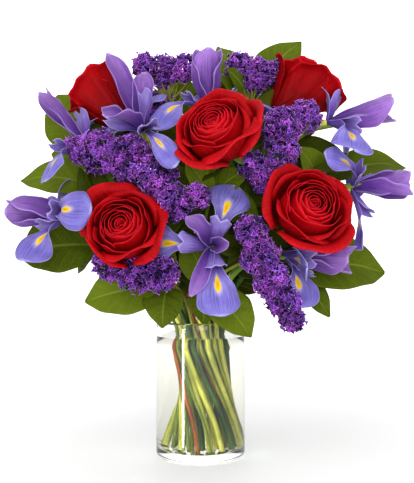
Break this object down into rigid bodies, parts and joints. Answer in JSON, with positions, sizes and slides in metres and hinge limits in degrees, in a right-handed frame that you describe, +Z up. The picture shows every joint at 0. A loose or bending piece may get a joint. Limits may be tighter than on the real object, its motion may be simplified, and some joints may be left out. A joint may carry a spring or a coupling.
{
  "type": "mixed flower bouquet in a glass vase",
  "caption": "Hand-tied bouquet of red roses, blue irises, purple statice and salal leaves standing in a clear glass cylinder vase.",
  "frame": {"origin": "centre of the vase's foot, in the plane that it stands on", "axes": "+Z up along the vase's axis, -Y towards the bouquet's front, +X to the right seen from the front"},
  "size_m": [0.4309, 0.2882, 0.4761],
  "materials": {
    "glass": "clear, polished",
    "rose_petals": "velvety",
    "iris_petals": "satin",
    "statice_florets": "papery",
    "salal_leaves": "waxy satin",
    "stems": "fresh, smooth"
  },
  "bodies": {
    "root": {"vase": "glass", "rose_bloom_1": "rose_petals", "rose_stem_1": "stems", "rose_bloom_2": "rose_petals", "rose_stem_2": "stems", "rose_bloom_3": "rose_petals", "rose_stem_3": "stems", "rose_bloom_4": "rose_petals", "rose_stem_4": "stems", "rose_bloom_5": "rose_petals", "rose_stem_5": "stems", "iris_bloom_1": "iris_petals", "iris_stem_1": "stems", "iris_bloom_2": "iris_petals", "iris_stem_2": "stems", "iris_bloom_3": "iris_petals", "iris_stem_3": "stems", "iris_bloom_4": "iris_petals", "iris_stem_4": "stems", "iris_bloom_5": "iris_petals", "iris_stem_5": "stems", "iris_bloom_6": "iris_petals", "iris_stem_6": "stems", "iris_bloom_7": "iris_petals", "iris_stem_7": "stems", "iris_bloom_8": "iris_petals", "iris_stem_8": "stems", "iris_bloom_9": "iris_petals", "iris_stem_9": "stems", "iris_bloom_10": "iris_petals", "iris_stem_10": "stems", "statice_1": "statice_florets", "statice_2": "statice_florets", "statice_3": "statice_florets", "statice_4": "statice_florets", "statice_5": "statice_florets", "statice_6": "statice_florets", "statice_7": "statice_florets", "statice_8": "statice_florets", "statice_9": "statice_florets", "salal_1": "salal_leaves", "salal_2": "salal_leaves", "salal_3": "salal_leaves", "salal_4": "salal_leaves", "salal_5": "salal_leaves", "salal_6": "salal_leaves", "salal_7": "salal_leaves", "salal_8": "salal_leaves", "salal_9": "salal_leaves", "salal_10": "salal_leaves", "salal_11": "salal_leaves", "salal_12": "salal_leaves", "salal_13": "salal_leaves", "salal_14": "salal_leaves", "salal_15": "salal_leaves"}
  },
  "joints": []
}
